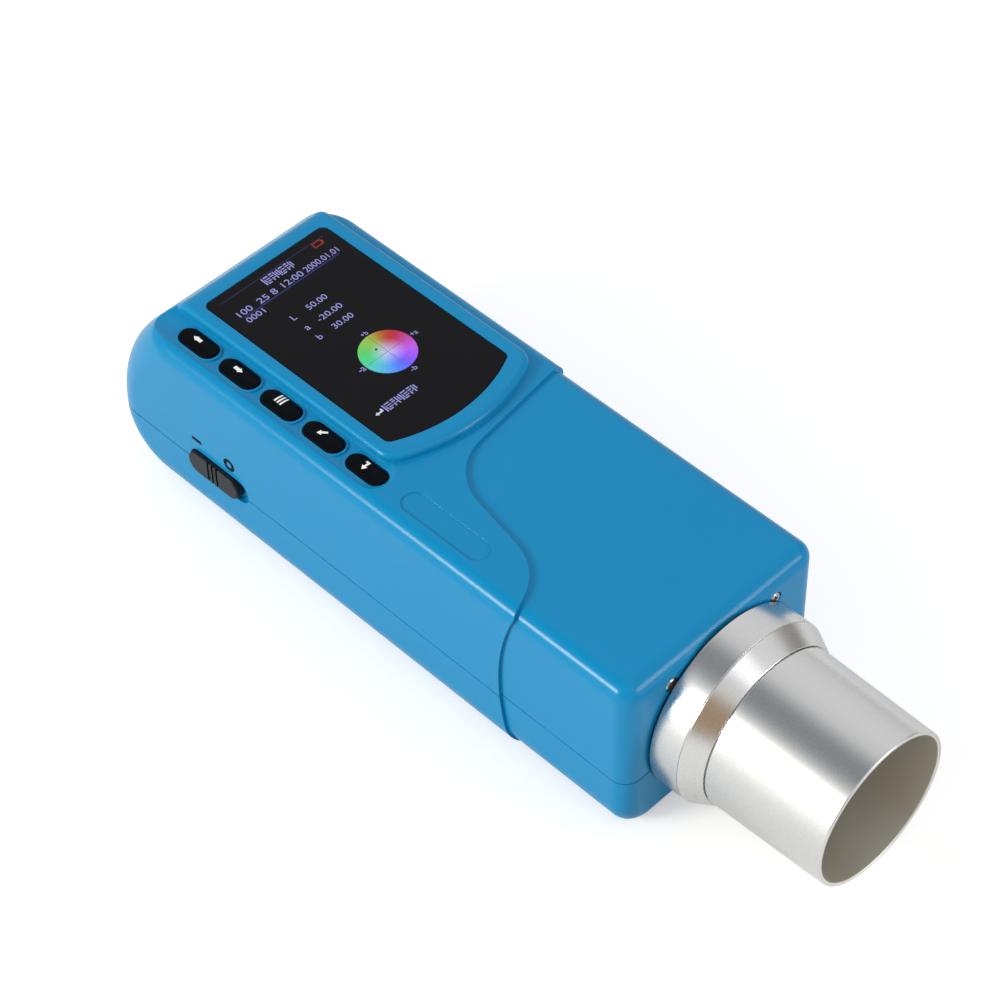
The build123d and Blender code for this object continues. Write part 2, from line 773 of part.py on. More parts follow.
def measure_switch():
    """Push switch on the main board, facing the measuring key."""
    front = measure_plunger_y - measure_travel - key_dome_gap
    face = front - measure_nub_depth
    half = measure_switch_width / 2
    body = block((measure_x - half, measure_x + half), (face - measure_switch_depth, face),
                 (board_top, measure_z + half))
    return body + side_stadium(measure_x, measure_z, (face, front), *measure_nub_size)


# ---------------------------------------------------------------- boards and battery
def main_board():
    """Main circuit board, with a hole at each post."""
    board = block((main_board_tail, main_board_nose), (-main_board_width / 2, main_board_width / 2),
                  (board_bottom, board_top))
    board = fillet(board.edges().filter_by(Axis.Z), board_corner)
    holes = [post(x, y, (board_bottom - spare, board_top + spare), board_screw_shank + screw_clearance)
             for x, y in board_posts]
    return board - holes


def chip(place, size):
    """Package that stands on the main board."""
    return Pos(place[0], place[1], board_top + size[2] / 2) * Box(*size)


def board_chips():
    """Packages on the main board, and the socket of the screen's cable."""
    processor = chip(processor_at, processor_size)
    memory = chip(memory_at, memory_size)
    charger = chip(charger_at, charger_size)
    converter = chip(converter_at, converter_size)
    clock = chip(clock_at, clock_size)
    coil = chip(coil_at, coil_size)
    socket_x = screen_x[1] + flex_bend - flex_socket_length
    socket = chip((socket_x, 0), (flex_socket_length, flex_socket_width, flex_socket_height))
    return Compound(children=[processor, memory, charger, converter, clock, coil, socket])


def screws_on(places, top, head, shank, length, facing=1):
    """Group of equal screws standing on a plane, heads up, or down with facing -1."""
    turn = Rot(0, 0, 0) if facing > 0 else Rot(180, 0, 0)
    one = screw(head, head * 0.75, shank, length)
    return Compound(children=[Pos(x, y, top) * turn * one for x, y in places])


def battery_pack():
    """Rechargeable pack with rounded long edges."""
    pack = block((battery_x - battery_length / 2, battery_x + battery_length / 2),
                 (-battery_width / 2, battery_width / 2), (battery_bottom, battery_top))
    return fillet(pack.edges().filter_by(Axis.X), battery_edge)


def battery_cradle():
    """Open-bottomed box over the battery bay, standing on the lower shell."""
    outer = block(grown(bay_x, cradle_wall), grown(bay_y, cradle_wall), (wall, cradle_top + cradle_wall))
    outer = fillet(outer.edges().filter_by(Axis.Z), cradle_wall)
    return outer - block(bay_x, bay_y, (0, cradle_top))


def battery_contacts():
    """Two bent leaf springs between the cradle's end wall and the pack."""
    back = bay_x[1]
    front = back - contact_thickness
    tip = back - contact_room - battery_room
    outline = Polyline((back, contact_top), (back, contact_foot), (tip, contact_bow),
                       (tip, contact_bow + contact_thickness), (front, contact_foot + 2 * contact_thickness),
                       (front, contact_top), close=True)
    leaf = extrude(Plane.XZ * make_face(outline), contact_width / 2, both=True)
    return Compound(children=[Pos(0, y, 0) * leaf for y in (-contact_y, contact_y)])


def battery_door():
    """Flush cover under the battery, with grip ribs at its tail end."""
    door = block(grown(door_x, -door_gap), grown(door_y, -door_gap), (door_sink, door_top))
    for i in range(door_rib_count):
        start = door_x[0] + door_rib_start + i * door_rib_pitch
        door = door - block((start, start + door_rib_width),
                            (-door_rib_length / 2, door_rib_length / 2),
                            (0, door_sink + door_rib_depth))
    return door


def usb_board():
    """Small board that carries the socket at the tail."""
    x = (usb_mouth_x + usb_board_start, usb_post_x + 2 * usb_post_radius)
    return block(x, (-usb_board_width / 2, usb_board_width / 2), (usb_board_bottom, usb_z[0]))


def usb_socket():
    """Charging and data socket: folded shell with its tongue."""
    x = (usb_mouth_x, usb_mouth_x + usb_length)
    shell = block(x, usb_y, usb_z)
    shell = fillet(shell.edges().filter_by(Axis.X), usb_edge)
    inside = block((x[0] - spare, x[1] - usb_wall), grown(usb_y, -usb_wall), grown(usb_z, -usb_wall))
    tongue = block((x[0] + usb_tongue_sink, x[1]), (-usb_tongue_width / 2, usb_tongue_width / 2),
                   (usb_height - usb_tongue_thickness / 2, usb_height + usb_tongue_thickness / 2))
    return shell - inside + tongue


# ---------------------------------------------------------------- optics
def nose_spigot():
    """Plate and ring that carry the optics and the adapter."""
    low = wall + spigot_plate_floor_gap
    high = ceiling - spigot_plate_ceiling_gap
    outline = Plane.YZ * Pos(0, (low + high) / 2) * RectangleRounded(
        2 * (spigot_radius + spigot_plate_step), high - low, spigot_plate_corner)
    plate = Pos(plate_back, 0, 0) * extrude(outline, spigot_plate)
    ring = barrel((plate_back, spigot_end), spigot_radius)
    room = oring_section + oring_room
    groove = ring_part((oring_x - room, oring_x + room), spigot_radius + spare,
                       oring_inner - oring_room / 2)
    bore = barrel((plate_back - spare, spigot_end + spare), spigot_bore)
    holes = [barrel((plate_back - spare, plate_front + spare), nose_screw_shank + screw_clearance, y, z)
             for y, z in nose_screw_places]
    return plate + ring - groove - bore - holes


def nose_screws_group():
    """Four screws through the nose wall into the spigot's plate."""
    head = nose_screw_sink
    one = screw(nose_screw_head, head, nose_screw_shank, nose_x - head - plate_back)
    return Compound(children=[Pos(nose_x - head, y, z) * Rot(0, 90, 0) * one
                              for y, z in nose_screw_places])


def ring_part(x, outer, inner):
    """Flat ring about the measuring axis."""
    return barrel(x, outer) - barrel(grown(x, spare), inner)


def sphere_wall_line(hole, facing):
    """Points (x, radius) on the sphere's wall, from its equator to a hole at one pole."""
    end = math.acos(hole / sphere_radius)
    turns = [end * i / sphere_steps for i in range(sphere_steps + 1)]
    return [(sphere_x + facing * sphere_radius * math.sin(t), sphere_radius * math.cos(t)) for t in turns]


def sphere_front():
    """Front half of the integrating sphere, with its neck and port."""
    port = port_radius + port_bevel
    return turned([*sphere_wall_line(port, 1), (port_plate_back, port), (port_plate_back, neck_radius),
                   (plate_back, neck_radius), (plate_back, sphere_body_radius),
                   (sphere_x, sphere_body_radius)])


def sphere_rear():
    """Rear half, with the viewing hole and six openings for the lamps."""
    body = turned([*sphere_wall_line(viewing_hole, -1), (sphere_back, viewing_hole),
                   (sphere_back, sphere_body_radius), (sphere_x, sphere_body_radius)])
    bores = [barrel((sphere_back - spare, sphere_end), lamp_radius + lamp_room, y, z)
             for y, z in lamp_places]
    return body - bores


def light_board():
    """Ring of lamps on the back of the sphere."""
    board = ring_part((light_board_back, sphere_back), sphere_body_radius - light_board_step,
                      viewing_tube_radius + lamp_room)
    lamps = [barrel((light_board_back, sphere_back + lamp_rise), lamp_radius, y, z)
             for y, z in lamp_places]
    return board + lamps


def viewing_tube():
    """Tube from the sphere's back to the sensor."""
    foot = tube_back + viewing_foot
    return turned([(tube_back, viewing_tube_radius + viewing_foot),
                   (foot, viewing_tube_radius + viewing_foot), (foot, viewing_tube_radius),
                   (sphere_back, viewing_tube_radius), (sphere_back, viewing_hole),
                   (foot, viewing_hole), (foot, viewing_tube_bore), (tube_back, viewing_tube_bore)])


def sensor_board():
    """Square board with the sensor facing the viewing tube."""
    half = sensor_board_size / 2
    board = block((tube_back - board_thickness, tube_back), (-half, half),
                  (axis_height - half, axis_height + half))
    sensor = Pos(tube_back, 0, axis_height) * Box(2 * sensor_height, sensor_size, sensor_size)
    return board + sensor


def aperture_plate():
    """Disc with the bevelled measuring port."""
    return turned([(port_plate_back, neck_radius), (spigot_end, neck_radius),
                   (spigot_end, port_radius), (port_plate_back, port_radius + port_bevel)])


def adapter_oring():
    """Seal ring in the spigot's groove, its round section drawn with eight sides."""
    middle = oring_inner + oring_section
    turns = [math.radians(45 * i) for i in range(8)]
    return turned([(oring_x + oring_section * math.sin(t), middle + oring_section * math.cos(t))
                   for t in turns])


# ---------------------------------------------------------------- adapter
def adapter_collar():
    """Turned collar: plain band, then a crisp cone."""
    return turned([(collar_start, collar_bore), (collar_start, collar_radius - collar_edge),
                   (collar_start + collar_edge, collar_radius), (cone_start, collar_radius),
                   (cone_end, spigot_radius + cone_end_step), (cone_end, collar_bore)])


def port_mask():
    """Disc that closes the adapter's foot around the port."""
    return turned([(mask_start, mask_hole_radius), (mask_start, collar_bore), (mask_end, collar_bore),
                   (mask_end, mask_hole_radius + port_bevel)])


def sample_tube():
    """Thin tube that holds the sample, its root pressed into the collar."""
    lip = tube_end_x - lip_bevel
    return turned([(mask_end, tube_bore_radius), (mask_end, collar_bore), (cone_end, collar_bore),
                   (cone_end, spigot_radius + tube_root_step), (lip, tube_rim_radius),
                   (tube_end_x, tube_rim_radius - lip_bevel), (tube_end_x, tube_bore_radius + lip_bevel),
                   (lip, tube_bore_radius)])


# ---------------------------------------------------------------- all nodes
body = housing(0)
cavity = nose_form(wall)
seam_slab = block((tail_x - spare, nose_x + spare), (-rear_width, rear_width),
                  (seam_height - seam_groove / 2, seam_height + seam_groove / 2))
groove = (body & seam_slab) - housing(seam_groove)

save("upper_shell", upper_shell(body, cavity, groove))
save("lower_shell", lower_shell(body, cavity, groove))
save("display_window", display_window())
save("window_tape", window_tape())
save("screen_module", screen_module())
save("screen_bracket", screen_bracket())
save("bracket_screws", screws_on(bracket_corners(), ceiling - bracket_thickness, board_screw_head,
                                 board_screw_shank, bracket_screw_length, -1))
save("display_flex", display_flex())
for name, x in zip(key_names, key_xs):
    save(name, key(x))
save("key_domes", key_domes())
save("key_board", key_board())
save("power_knob", power_knob())
save("power_switch", power_switch())
save("measure_key", measure_key())
save("measure_switch", measure_switch())
save("main_board", main_board())
save("board_chips", board_chips())
save("board_screws", screws_on(board_posts, board_top, board_screw_head, board_screw_shank,
                               board_screw_length))
save("battery_pack", battery_pack())
save("battery_cradle", battery_cradle())
save("battery_contacts", battery_contacts())
save("battery_door", battery_door())
save("usb_board", usb_board())
save("usb_socket", usb_socket())
save("housing_screws", screws_on(housing_posts, housing_screw_sink, housing_screw_head,
                                 housing_screw_shank,
                                 seam_height + housing_screw_grip - housing_screw_sink, -1))
save("nose_spigot", nose_spigot())
save("nose_screws", nose_screws_group())
save("nose_gasket", ring_part((nose_x, collar_start), spigot_radius + gasket_step,
                              spigot_radius + nose_hole_gap))
save("adapter_oring", adapter_oring())
save("sphere_front", sphere_front())
save("sphere_rear", sphere_rear())
save("light_board", light_board())
save("viewing_tube", viewing_tube())
save("sensor_board", sensor_board())
save("aperture_plate", aperture_plate())
save("adapter_collar", adapter_collar())
save("port_mask", port_mask())
save("sample_tube", sample_tube())
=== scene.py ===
import bpy
import json
import math
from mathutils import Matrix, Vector


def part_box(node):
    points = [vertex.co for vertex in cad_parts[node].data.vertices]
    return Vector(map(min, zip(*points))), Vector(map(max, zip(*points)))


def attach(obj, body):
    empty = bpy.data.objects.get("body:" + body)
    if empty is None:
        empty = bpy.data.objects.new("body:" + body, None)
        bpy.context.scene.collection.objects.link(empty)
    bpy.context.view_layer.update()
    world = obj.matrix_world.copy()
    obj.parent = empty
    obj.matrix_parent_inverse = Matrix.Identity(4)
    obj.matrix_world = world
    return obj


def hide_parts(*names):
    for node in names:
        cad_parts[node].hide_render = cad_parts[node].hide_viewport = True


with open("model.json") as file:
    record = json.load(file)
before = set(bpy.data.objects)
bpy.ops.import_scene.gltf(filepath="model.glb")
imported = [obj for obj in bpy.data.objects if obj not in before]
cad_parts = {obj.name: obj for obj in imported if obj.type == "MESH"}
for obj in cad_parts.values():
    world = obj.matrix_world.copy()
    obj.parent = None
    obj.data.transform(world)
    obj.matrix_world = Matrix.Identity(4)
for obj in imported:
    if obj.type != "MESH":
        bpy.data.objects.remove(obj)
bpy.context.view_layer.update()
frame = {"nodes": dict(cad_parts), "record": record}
mm = 0.001
axisHeight = 0.0313  # of the measuring axis above the underside
near = 1e-6  # closer than this counts as the same place
print("frame loaded:", len(frame["nodes"]), "nodes")


# helpers used by every piece
def clearSelection():
    bpy.ops.object.select_all(action="DESELECT")


def pick(obj):
    clearSelection()
    obj.select_set(True)
    bpy.context.view_layer.objects.active = obj


def placeInMesh(obj):
    # location, turn and scale go into the mesh, and the object stays at the origin
    pick(obj)
    bpy.ops.object.transform_apply(location=True, rotation=True, scale=True)


def applyAll(obj):
    pick(obj)
    for modifier in list(obj.modifiers):
        bpy.ops.object.modifier_apply(modifier=modifier.name)


def smooth(obj, angle):
    pick(obj)
    bpy.ops.object.shade_smooth_by_angle(angle=math.radians(angle))


def editWhere(obj, kind, wanted):
    # opens the piece for editing with only the elements chosen by their middle point selected
    pick(obj)
    mesh = obj.data
    groups = {"VERT": mesh.vertices, "EDGE": mesh.edges, "FACE": mesh.polygons}
    for group in groups.values():
        for element in group:
            element.select = False
    for element in groups[kind]:
        if kind == "VERT":
            middle = element.co
        else:
            corners = [mesh.vertices[i].co for i in element.vertices]
            middle = sum(corners, Vector()) / len(corners)
        element.select = bool(wanted(middle))
    bpy.ops.object.mode_set(mode="EDIT")
    bpy.ops.mesh.select_mode(type=kind)


def editAll(obj):
    pick(obj)
    bpy.ops.object.mode_set(mode="EDIT")
    bpy.ops.mesh.select_all(action="SELECT")


def editDone():
    bpy.ops.object.mode_set(mode="OBJECT")


def drawUp(obj, step):
    # a flat outline becomes a closed thin solid
    editAll(obj)
    bpy.ops.mesh.extrude_region_move(TRANSFORM_OT_translate={"value": step})
    bpy.ops.mesh.select_all(action="SELECT")
    bpy.ops.mesh.normals_make_consistent(inside=False)
    editDone()


def hollowOut(obj, line):
    # a flat shape becomes a frame, with its line's width in mm
    editAll(obj)
    bpy.ops.mesh.inset(thickness=line * mm, depth=0)
    bpy.ops.mesh.delete(type="FACE")
    editDone()


def flatPlate(middle, sides, turn=(0, 0, 0)):
    # a flat rectangle: its middle in metres, its sides in mm
    clearSelection()
    bpy.ops.mesh.primitive_plane_add(size=1, location=middle, rotation=turn)
    plate = bpy.context.object
    plate.scale = (sides[0] * mm, sides[1] * mm, 1)
    placeInMesh(plate)
    return plate


def flatDisc(middle, radius, corners, turn=(0, 0, 0)):
    # a flat disc: its middle in metres, its radius in mm
    clearSelection()
    bpy.ops.mesh.primitive_circle_add(vertices=corners, radius=radius * mm, fill_type="NGON",
                                      location=middle, rotation=turn)
    disc = bpy.context.object
    placeInMesh(disc)
    return disc


def joined(pieces):
    clearSelection()
    for piece in pieces:
        piece.select_set(True)
    bpy.context.view_layer.objects.active = pieces[0]
    bpy.ops.object.join()
    return bpy.context.object


def hand(obj, name, material, body):
    # names a finished piece, gives it its finish and ties it to the part that it moves with
    obj.name = name
    obj.data.name = name
    wear(obj, material)
    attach(obj, body)


def wear(obj, material):
    obj.data.materials.clear()
    obj.data.materials.append(material)


def nodesOf(name):
    material = bpy.data.materials.new(name)
    material.use_nodes = True
    tree = material.node_tree
    return material, tree, tree.nodes["Principled BSDF"]


def mathOn(tree, operation, first, second=None):
    node = tree.nodes.new("ShaderNodeMath")
    node.operation = operation
    for socket, value in zip(node.inputs, (first, second)):
        if isinstance(value, (int, float)):
            socket.default_value = value
        elif value is not None:
            tree.links.new(value, socket)
    return node.outputs[0]


def noiseOn(tree, scale, detail=3.0, stretch=(1, 1, 1)):
    # noise on object coordinates, so a pattern keeps its place on the piece
    coord = tree.nodes.new("ShaderNodeTexCoord")
    mapping = tree.nodes.new("ShaderNodeMapping")
    mapping.inputs["Scale"].default_value = stretch
    noise = tree.nodes.new("ShaderNodeTexNoise")
    noise.inputs["Scale"].default_value = scale
    noise.inputs["Detail"].default_value = detail
    tree.links.new(coord.outputs["Object"], mapping.inputs["Vector"])
    tree.links.new(mapping.outputs["Vector"], noise.inputs["Vector"])
    return noise.outputs["Fac"]


def spread(tree, source, low, high, start=0.3, end=0.7):
    # maps a pattern to the range that a socket needs
    ranged = tree.nodes.new("ShaderNodeMapRange")
    ranged.inputs["From Min"].default_value = start
    ranged.inputs["From Max"].default_value = end
    ranged.inputs["To Min"].default_value = low
    ranged.inputs["To Max"].default_value = high
    tree.links.new(source, ranged.inputs["Value"])
    return ranged.outputs["Result"]


def tint(tree, source, first, second):
    mix = tree.nodes.new("ShaderNodeMix")
    mix.data_type = "RGBA"
    for socket, value in ((mix.inputs["A"], first), (mix.inputs["B"], second)):
        if isinstance(value, tuple):
            socket.default_value = (*value, 1)
        else:
            tree.links.new(value, socket)
    tree.links.new(source, mix.inputs["Factor"])
    return mix.outputs["Result"]


def bump(tree, height, shader, distance, edge=0.0):
    # raised grain, over edges that are broken by the given radius
    node = tree.nodes.new("ShaderNodeBump")
    node.inputs["Distance"].default_value = distance
    tree.links.new(height, node.inputs["Height"])
    if edge:
        broken = tree.nodes.new("ShaderNodeBevel")
        broken.samples = 16
        broken.inputs["Radius"].default_value = edge
        tree.links.new(broken.outputs["Normal"], node.inputs["Normal"])
    tree.links.new(node.outputs["Normal"], shader.inputs["Normal"])


# finishes
def mouldedBlue():
    look = {"light": (0.0025, 0.236, 0.5), "deep": (0.002, 0.218, 0.468), "gloss": (0.19, 0.23),
            "cloud": 9, "grain": 2400, "grainDepth": 0.000003, "shine": 0.21, "edge": 0.0003}
    material, tree, shader = nodesOf("mouldedBlue")
    cloud = noiseOn(tree, look["cloud"], 2)
    tree.links.new(tint(tree, cloud, look["deep"], look["light"]), shader.inputs["Base Color"])
    grain = noiseOn(tree, look["grain"], 2)
    tree.links.new(spread(tree, grain, *look["gloss"]), shader.inputs["Roughness"])
    bump(tree, grain, shader, look["grainDepth"], look["edge"])
    shader.inputs["Specular IOR Level"].default_value = look["shine"]
    return material


def windowGlass():
    look = {"dark": (0.0014, 0.0018, 0.0042), "light": (0.0034, 0.003, 0.0036), "haze": (0.05, 0.1),
            "smear": 60, "smearStretch": (1, 3, 1), "cloud": 30, "shine": 0.12}
    material, tree, shader = nodesOf("windowGlass")
    cloud = noiseOn(tree, look["cloud"], 2)
    tree.links.new(tint(tree, cloud, look["dark"], look["light"]), shader.inputs["Base Color"])
    smear = noiseOn(tree, look["smear"], 3, look["smearStretch"])
    tree.links.new(spread(tree, smear, *look["haze"]), shader.inputs["Roughness"])
    shader.inputs["Specular IOR Level"].default_value = look["shine"]
    return material


def turnedAluminium():
    # fine turning marks run round the measuring axis, and the blasted bore is duller than the outside; the
    # bore's lighter, warmer tone is painted light that lifts the shade inside the tube
    look = {"dark": (0.69, 0.69, 0.692), "light": (0.75, 0.75, 0.748), "rough": (0.25, 0.29),
            "boreEdge": (0.0236, 0.0239), "boreRough": 0.5, "borePaintedLightTone": (0.83, 0.8, 0.73),
            "blast": 4200, "turning": 40, "turningStretch": (120, 0.6, 0.6), "depth": 0.0000005}
    material, tree, shader = nodesOf("turnedAluminium")
    shader.inputs["Metallic"].default_value = 1.0
    blast = noiseOn(tree, look["blast"], 2)
    turning = noiseOn(tree, look["turning"], 2, look["turningStretch"])
    outside = tint(tree, turning, look["dark"], look["light"])
    coord = tree.nodes.new("ShaderNodeTexCoord")
    place = tree.nodes.new("ShaderNodeSeparateXYZ")
    tree.links.new(coord.outputs["Object"], place.inputs["Vector"])
    across = mathOn(tree, "POWER", place.outputs["Y"], 2)
    upward = mathOn(tree, "POWER", mathOn(tree, "SUBTRACT", place.outputs["Z"], axisHeight), 2)
    radius = mathOn(tree, "SQRT", mathOn(tree, "ADD", across, upward))
    isBore = spread(tree, radius, 1, 0, *look["boreEdge"])
    # inside the bore the tone is lighter: painted light against the shade inside the tube
    tree.links.new(tint(tree, isBore, outside, look["borePaintedLightTone"]), shader.inputs["Base Color"])
    rough = spread(tree, blast, *look["rough"])
    extra = mathOn(tree, "MULTIPLY", isBore, look["boreRough"] - look["rough"][1])
    tree.links.new(mathOn(tree, "ADD", rough, extra), shader.inputs["Roughness"])
    bump(tree, blast, shader, look["depth"])
    return material


def steel():
    look = {"dark": (0.42, 0.41, 0.4), "light": (0.6, 0.59, 0.58), "rough": (0.22, 0.38), "grain": 900}
    material, tree, shader = nodesOf("steel")
    shader.inputs["Metallic"].default_value = 1.0
    grain = noiseOn(tree, look["grain"], 4)
    tree.links.new(tint(tree, grain, look["dark"], look["light"]), shader.inputs["Base Color"])
    tree.links.new(spread(tree, grain, *look["rough"]), shader.inputs["Roughness"])
    return material


def grained(name, dark, light, rough, scale=1500, depth=0.00001, metallic=0.0, shine=0.5, detail=3):
    # plain moulded, rubber, laminate and film finishes
    material, tree, shader = nodesOf(name)
    shader.inputs["Metallic"].default_value = metallic
    shader.inputs["Specular IOR Level"].default_value = shine
    grain = noiseOn(tree, scale, detail)
    tree.links.new(tint(tree, grain, dark, light), shader.inputs["Base Color"])
    tree.links.new(spread(tree, grain, *rough), shader.inputs["Roughness"])
    bump(tree, grain, shader, depth)
    return material


def underGlass(name):
    # what shines on the display is nearly black and glossy where it is unlit
    look = {"dark": (0.002, 0.002, 0.003), "rough": 0.12, "shine": 0.22}
    material, tree, shader = nodesOf(name)
    shader.inputs["Base Color"].default_value = (*look["dark"], 1)
    shader.inputs["Roughness"].default_value = look["rough"]
    shader.inputs["Specular IOR Level"].default_value = look["shine"]
    return material, tree, shader


def litPixels(name, colour):
    # lit figures of the display, with the faint unevenness of its back light
    look = {"unevenness": 900, "dimmest": 0.8}
    material, tree, shader = underGlass(name)
    uneven = noiseOn(tree, look["unevenness"], 2)
    shade = tuple(look["dimmest"] * part for part in colour)
    tree.links.new(tint(tree, uneven, shade, colour), shader.inputs["Emission Color"])
    shader.inputs["Emission Strength"].default_value = 1.0
    return material


finishes = {
    "housing": mouldedBlue(),
    "window": windowGlass(),
    "key_rubber": grained("keyRubber", (0.0012, 0.0022, 0.0036), (0.0022, 0.0036, 0.0056), (0.38, 0.5),
                          scale=3200, shine=0.05, detail=2),
    "knob": grained("knobPlastic", (0.006, 0.0075, 0.0105), (0.012, 0.014, 0.018), (0.36, 0.48),
                    scale=1800, depth=0.000015, shine=0.3),
    "adapter_aluminium": turnedAluminium(),
    "steel": steel(),
    "tape": grained("tape", (0.02, 0.02, 0.02), (0.035, 0.035, 0.035), (0.6, 0.75)),
    "screen": grained("screen", (0.012, 0.012, 0.016), (0.02, 0.02, 0.026), (0.12, 0.2),
                      scale=400, depth=0.000002),
    "flex": grained("flex", (0.42, 0.2, 0.05), (0.55, 0.28, 0.08), (0.25, 0.4), scale=700),
    "board": grained("board", (0.01, 0.13, 0.05), (0.02, 0.18, 0.07), (0.28, 0.42), scale=500),
    "chip": grained("chip", (0.015, 0.015, 0.016), (0.03, 0.03, 0.03), (0.45, 0.6)),
    "battery": grained("battery", (0.05, 0.13, 0.35), (0.08, 0.18, 0.42), (0.25, 0.4), scale=300),
    "inner_plastic": grained("innerPlastic", (0.02, 0.02, 0.021), (0.035, 0.035, 0.036), (0.5, 0.65)),
    "contact": grained("contact", (0.75, 0.5, 0.18), (0.85, 0.6, 0.25), (0.22, 0.35),
                       scale=800, depth=0.000004, metallic=1.0),
    "spigot": grained("spigot", (0.012, 0.012, 0.013), (0.025, 0.025, 0.026), (0.35, 0.5)),
    "gasket": grained("gasket", (0.006, 0.006, 0.006), (0.012, 0.012, 0.012), (0.6, 0.8)),
    "sphere": grained("sphere", (0.84, 0.84, 0.82), (0.9, 0.9, 0.88), (0.8, 0.95)),
}
for part in frame["record"]["subparts"]:
    wear(frame["nodes"][part["node"]], finishes[part["material_slot"]])


# adapter: collar and tube, turned with softened edges
def softened(outline):
    # each corner becomes a small arc, with a point before and after it that keeps the walls straight
    most = {"arc": 0.4, "guard": 0.49}  # shares of a wall's length
    points = []
    for i, (x, r, edge) in enumerate(outline):
        here = Vector((x, r))
        before = Vector(outline[i - 1][:2]) - here
        after = Vector(outline[(i + 1) % len(outline)][:2]) - here
        reach = min(edge, most["arc"] * before.length, most["arc"] * after.length)
        start, end = here + before.normalized() * reach, here + after.normalized() * reach
        points.append(here + before.normalized() * min(2 * reach, most["guard"] * before.length))
        for share in (0.0, 0.25, 0.5, 0.75, 1.0):
            points.append((1 - share) ** 2 * start + 2 * share * (1 - share) * here + share ** 2 * end)
        points.append(here + after.normalized() * min(2 * reach, most["guard"] * after.length))
    return points


def turned(name, outline, body, node):
    # a vertex is drawn along the section, and the section is spun round the measuring axis
    turning = {"steps": 160, "smoothBelow": 50}
    section = softened(outline)
    clearSelection()
    bpy.ops.mesh.primitive_plane_add(size=mm, location=(0, 0, 0))
    piece = bpy.context.object
    placeInMesh(piece)
    editAll(piece)
    bpy.ops.mesh.merge(type="CENTER")
    bpy.ops.transform.translate(value=(section[0].x * mm, 0, section[0].y * mm + axisHeight))
    for here, there in zip(section, section[1:] + section[:1]):
        step = (there - here) * mm
        bpy.ops.mesh.extrude_region_move(TRANSFORM_OT_translate={"value": (step.x, 0, step.y)})
    bpy.ops.mesh.select_all(action="SELECT")
    bpy.ops.mesh.remove_doubles(threshold=near)
    bpy.ops.mesh.spin(steps=turning["steps"], angle=math.tau, center=(0, 0, axisHeight), axis=(1, 0, 0))
    bpy.ops.mesh.select_all(action="SELECT")
    bpy.ops.mesh.remove_doubles(threshold=near)
    bpy.ops.mesh.normals_make_consistent(inside=False)
    editDone()
    smooth(piece, turning["smoothBelow"])
    hand(piece, name, finishes["adapter_aluminium"], body)
    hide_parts(node)


# each corner: place along the axis and radius in mm, then how far its edge is softened
collarOutline = [(106.7, 24.85, 0.1), (106.7, 28.7, 0.02), (106.2, 28.7, 0.02), (106.2, 29.3, 0.25),
                 (115.9, 29.3, 0.1), (115.92, 29.0, 0.02), (116.18, 29.0, 0.02), (116.22, 29.25, 0.06),
                 (122.5, 26.0, 0.12), (122.5, 24.85, 0.02)]
tubeOutline = [(115.4, 23.4, 0.05), (115.4, 24.85, 0.05), (122.8, 24.85, 0.02), (122.8, 25.5, 0.12),
               (162.0, 24.7, 0.45), (162.0, 23.4, 0.4)]
turned("collarBody", collarOutline, "adapter", "adapter_collar")
turned("tubeBody", tubeOutline, "adapter", "sample_tube")
print("adapter turned")


# what the display shows
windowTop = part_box("display_window")[1].z
figureDepth = 0.03 * mm  # how far the lit figures stand above the glass
drawnAt = 0.075  # signs are drawn above the instrument, then brought down onto it


def bar(x0, x1, y0, y1, depth=figureDepth):
    # a flat strip on the window, limits in mm, drawn up by its depth
    strip = flatPlate(((x0 + x1) / 2 * mm, (y0 + y1) / 2 * mm, windowTop), (x1 - x0, y1 - y0))
    drawUp(strip, (0, 0, depth))
    return strip


def show(piece, name, material):
    # what is seen on the display rides with the housing
    hand(piece, name, material, "housing")


def figures(words, top, bottom, left, right):
    # a line of figures fitted to its place: it reads with the tail as its top, limits in mm
    letters = {"halfThick": 0.1, "curve": 4, "weld": 0.0005}
    clearSelection()
    bpy.ops.object.text_add(location=(0, 0, 0))
    line = bpy.context.object
    line.data.body = words
    line.data.extrude = letters["halfThick"]
    line.data.resolution_u = letters["curve"]
    bpy.ops.object.convert(target="MESH")
    line = bpy.context.object
    editAll(line)
    bpy.ops.mesh.remove_doubles(threshold=letters["weld"])
    editDone()
    acrossAll = [point.co.x for point in line.data.vertices]
    upAll = [point.co.y for point in line.data.vertices]
    wide = (right - left) * mm / (max(acrossAll) - min(acrossAll))
    tall = (bottom - top) * mm / (max(upAll) - min(upAll))
    line.scale = (wide, tall, figureDepth / (2 * letters["halfThick"]))
    line.rotation_euler = (0, 0, math.radians(90))
    line.location = (top * mm + tall * max(upAll), left * mm - wide * min(acrossAll),
                     windowTop + figureDepth / 2)
    placeInMesh(line)
    return line


def menuBlock(x0, x1, y0, y1, kind):
    # stands for one sign of the menu line: short bars in one of two layouts, and nothing that reads
    tall, wide = x1 - x0, y1 - y0
    layouts = [[(0.0, 1.0, 0.0, 0.16), (0.3, 0.82, 0.26, 0.38), (0.02, 0.16, 0.3, 0.96),
                (0.34, 0.46, 0.5, 1.0), (0.62, 0.74, 0.5, 1.0), (0.86, 1.0, 0.3, 0.8)],
               [(0.0, 0.14, 0.0, 0.44), (0.28, 0.42, 0.0, 0.44), (0.56, 0.98, 0.04, 0.2),
                (0.6, 0.72, 0.3, 0.5), (0.0, 1.0, 0.58, 0.72), (0.1, 0.76, 0.86, 1.0)]]
    return [bar(x0 + a * tall, x0 + b * tall, y0 + c * wide, y0 + d * wide) for a, b, c, d in layouts[kind]]


def menuLine(x0, x1, y0, y1):
    count, gap = 4, 0.35
    step = (y1 - y0 + gap) / count
    strips = []
    for i in range(count):
        strips += menuBlock(x0, x1, y0 + i * step, y0 + (i + 1) * step - gap, i % 2)
    return strips


